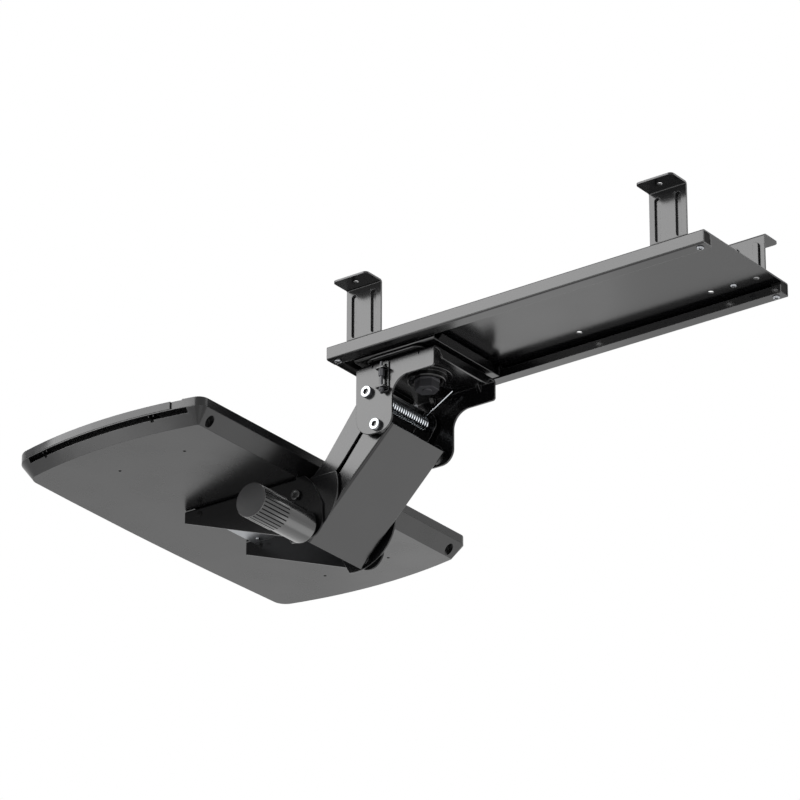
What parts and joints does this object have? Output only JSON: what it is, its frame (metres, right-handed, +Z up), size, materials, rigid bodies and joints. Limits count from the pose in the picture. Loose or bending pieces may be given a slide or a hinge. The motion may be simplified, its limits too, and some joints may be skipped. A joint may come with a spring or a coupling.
{
  "type": "keyboard tray under desk",
  "caption": "Under-desk keyboard tray on a sliding and swivelling parallel arm with a height and tilt adjustment and a clamp knob.",
  "frame": {"origin": "centre of the four desk bolts, on the top face of the hangers' flanges", "axes": "+Z up, +Y towards the back of the desk along the rail, +X to the right of the person who types"},
  "size_m": [0.592, 0.9359, 0.3229],
  "materials": {
    "black_steel": "satin black powder coat",
    "bright_steel": "zinc plated",
    "spring_wire": "bright",
    "nylon": "natural white",
    "black_plastic": "fine moulded grain",
    "gloss_black": "smooth moulded",
    "trim_grey": "satin",
    "dark_screw": "black oxide"
  },
  "bodies": {
    "rail": {"track": "black_steel", "hanger_front_right": "black_steel", "hanger_front_left": "black_steel", "hanger_back_right": "black_steel", "hanger_back_left": "black_steel", "hanger_screws": "bright_steel", "hanger_nuts": "bright_steel", "stop_front_right": "black_plastic", "stop_front_left": "black_plastic", "stop_back_right": "black_plastic", "stop_back_left": "black_plastic", "stop_screws": "bright_steel"},
    "carriage": {"carriage_plate": "black_steel", "glide_front_right": "nylon", "glide_front_left": "nylon", "glide_back_right": "nylon", "glide_back_left": "nylon", "slip_disc": "nylon", "swivel_bolt": "dark_screw", "swivel_nut": "dark_screw"},
    "mount": {"swivel_plate": "black_steel", "mount_bracket": "black_steel", "swivel_collar": "black_steel", "upper_pin": "bright_steel", "lower_pin": "bright_steel", "upper_spacers": "nylon", "lower_spacers": "nylon", "torsion_spring": "spring_wire", "stop_bracket": "black_steel", "stop_bolt": "bright_steel"},
    "lower_arm": {"lower_arm": "black_steel"},
    "upper_arm": {"upper_arm": "black_steel"},
    "head": {"head_bracket": "black_steel", "tilt_shaft": "bright_steel", "tilt_pins": "bright_steel", "head_washers": "nylon", "knob_washer": "bright_steel"},
    "knob": {"knob_barrel": "gloss_black", "knob_grip": "black_plastic"},
    "tray": {"wing_right": "black_steel", "wing_left": "black_steel", "base_plate": "bright_steel", "plate_screws": "bright_steel", "tray_bottom": "black_plastic", "tray_top": "black_plastic", "end_trim_right": "trim_grey", "end_trim_left": "trim_grey", "tray_screws": "dark_screw"}
  },
  "joints": [
    {"name": "carriage_slide", "type": "slide", "parent": "rail", "child": "carriage", "axis": [0, 1, 0], "range_m": [-0.011, 0.4]},
    {"name": "mount_swivel", "type": "hinge", "parent": "carriage", "child": "mount", "pos_m": [0, -0.197, -0.1011], "axis": [0, 0, 1], "range_deg": [-90, 90]},
    {"name": "arm_lift", "type": "hinge", "parent": "mount", "child": "lower_arm", "pos_m": [0, -0.2265, -0.1885], "axis": [1, 0, 0], "range_deg": [-24, 8], "deforming": ["torsion_spring"]},
    {"name": "upper_arm_follow", "type": "hinge", "parent": "mount", "child": "upper_arm", "pos_m": [0, -0.24, -0.1405], "axis": [1, 0, 0], "range_deg": [-24, 8]},
    {"name": "head_level", "type": "hinge", "parent": "lower_arm", "child": "head", "pos_m": [0, -0.33991, -0.29995], "axis": [1, 0, 0], "range_deg": [-8, 24]},
    {"name": "tray_tilt", "type": "hinge", "parent": "head", "child": "tray", "pos_m": [0, -0.35341, -0.25194], "axis": [1, 0, 0], "range_deg": [-5, 12]},
    {"name": "knob_turn", "type": "hinge", "parent": "head", "child": "knob", "pos_m": [0, -0.33991, -0.29995], "axis": [1, 0, 0], "range_deg": [0, 360]}
  ],
  "couplings": [
    {"joint": "upper_arm_follow", "follows": "arm_lift", "ratio": 1},
    {"joint": "head_level", "follows": "arm_lift", "ratio": -1}
  ]
}
